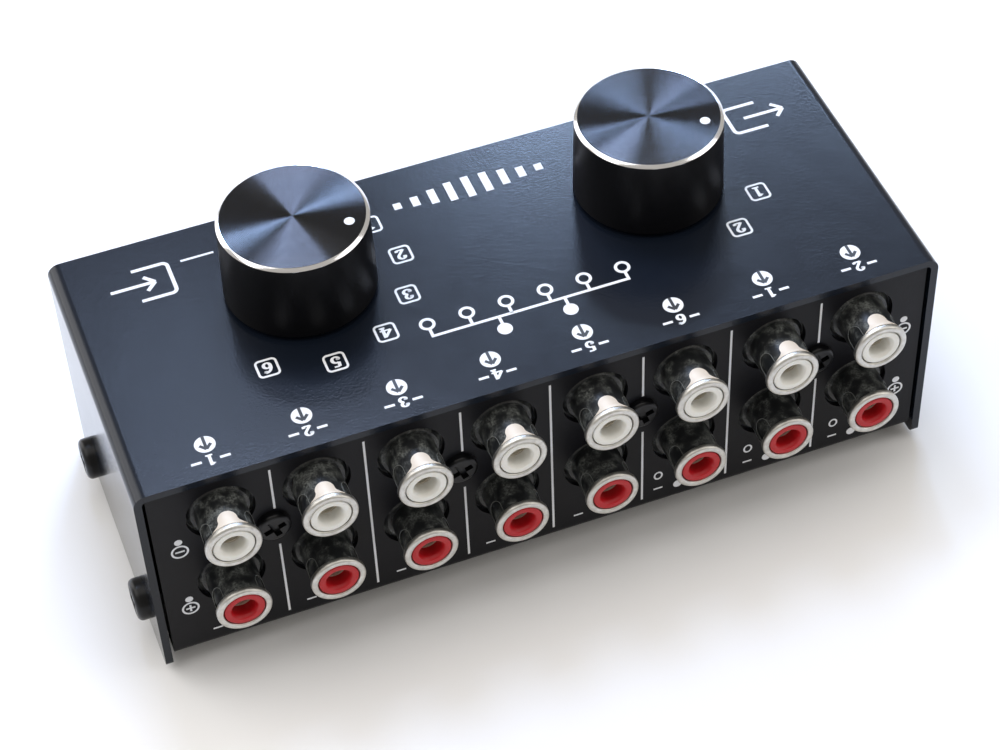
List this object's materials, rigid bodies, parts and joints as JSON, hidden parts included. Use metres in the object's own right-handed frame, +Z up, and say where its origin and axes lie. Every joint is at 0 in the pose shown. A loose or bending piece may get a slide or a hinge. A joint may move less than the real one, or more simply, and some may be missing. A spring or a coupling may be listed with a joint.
{
  "type": "speaker selector switch",
  "caption": "Passive audio selector box: two rotary knobs on top choose among columns of phono jacks on the back.",
  "frame": {"origin": "on the table, under the middle of the whole outline, jacks included", "axes": "+X along the box to the right of a user who faces the knobs from the front, +Y to the back where the jacks are, +Z up"},
  "size_m": [0.129, 0.056, 0.0548],
  "materials": {
    "powder_coated_steel": "black semi-gloss powder coat with a fine orange peel",
    "black_moulded_plastic": "moulded, lightly glossy",
    "tinned_metal": "bright tin plate, slightly warm",
    "white_plastic": "moulded, satin",
    "red_plastic": "moulded, satin",
    "tinned_brass": "tin-plated spring brass",
    "black_screw_steel": "black oxide, slightly glossy",
    "foot_rubber": "matt",
    "board_laminate": "green solder resist",
    "plated_steel": "bright zinc plate",
    "black_anodised_aluminium": "black anodise, spun top, bright cut bevel",
    "wafer_laminate": "brown phenolic laminate",
    "rotor_nylon": "natural nylon"
  },
  "bodies": {
    "case": {"base_chassis": "powder_coated_steel", "board_screws": "plated_steel", "board_standoffs": "plated_steel", "centre_contacts_1": "tinned_brass", "centre_contacts_2": "tinned_brass", "centre_contacts_3": "tinned_brass", "centre_contacts_4": "tinned_brass", "circuit_board": "board_laminate", "ground_shells_1": "tinned_metal", "ground_shells_2": "tinned_metal", "ground_shells_3": "tinned_metal", "ground_shells_4": "tinned_metal", "input_bush_nut": "plated_steel", "input_bush_washer": "plated_steel", "input_detent_leaf": "plated_steel", "input_switch_bush": "plated_steel", "input_terminals": "tinned_brass", "input_tie_rods": "plated_steel", "input_wafer_1": "wafer_laminate", "input_wafer_2": "wafer_laminate", "jack_block_1": "black_moulded_plastic", "jack_block_2": "black_moulded_plastic", "jack_block_3": "black_moulded_plastic", "jack_block_4": "black_moulded_plastic", "jack_screws": "black_screw_steel", "output_bush_nut": "plated_steel", "output_bush_washer": "plated_steel", "output_detent_leaf": "plated_steel", "output_switch_bush": "plated_steel", "output_terminals": "tinned_brass", "output_tie_rods": "plated_steel", "output_wafer_1": "wafer_laminate", "red_insulators_1": "red_plastic", "red_insulators_2": "red_plastic", "red_insulators_3": "red_plastic", "red_insulators_4": "red_plastic", "rubber_feet": "foot_rubber", "side_screws": "black_screw_steel", "top_cover": "powder_coated_steel", "white_insulators_1": "white_plastic", "white_insulators_2": "white_plastic", "white_insulators_3": "white_plastic", "white_insulators_4": "white_plastic"},
    "input_selector": {"input_grub_screw": "black_screw_steel", "input_knob": "black_anodised_aluminium", "input_rotor_1": "rotor_nylon", "input_rotor_2": "rotor_nylon", "input_shaft": "plated_steel", "input_star_wheel": "plated_steel"},
    "output_selector": {"output_grub_screw": "black_screw_steel", "output_knob": "black_anodised_aluminium", "output_rotor_1": "rotor_nylon", "output_shaft": "plated_steel", "output_star_wheel": "plated_steel"}
  },
  "joints": [
    {"name": "input_turn", "type": "hinge", "parent": "case", "child": "input_selector", "pos_m": [0.0278, -0.00975, 0.0404], "axis": [0, 0, 1], "range_deg": [-90, 60]},
    {"name": "output_turn", "type": "hinge", "parent": "case", "child": "output_selector", "pos_m": [-0.0284, -0.00975, 0.0404], "axis": [0, 0, 1], "range_deg": [-30, 0]}
  ]
}
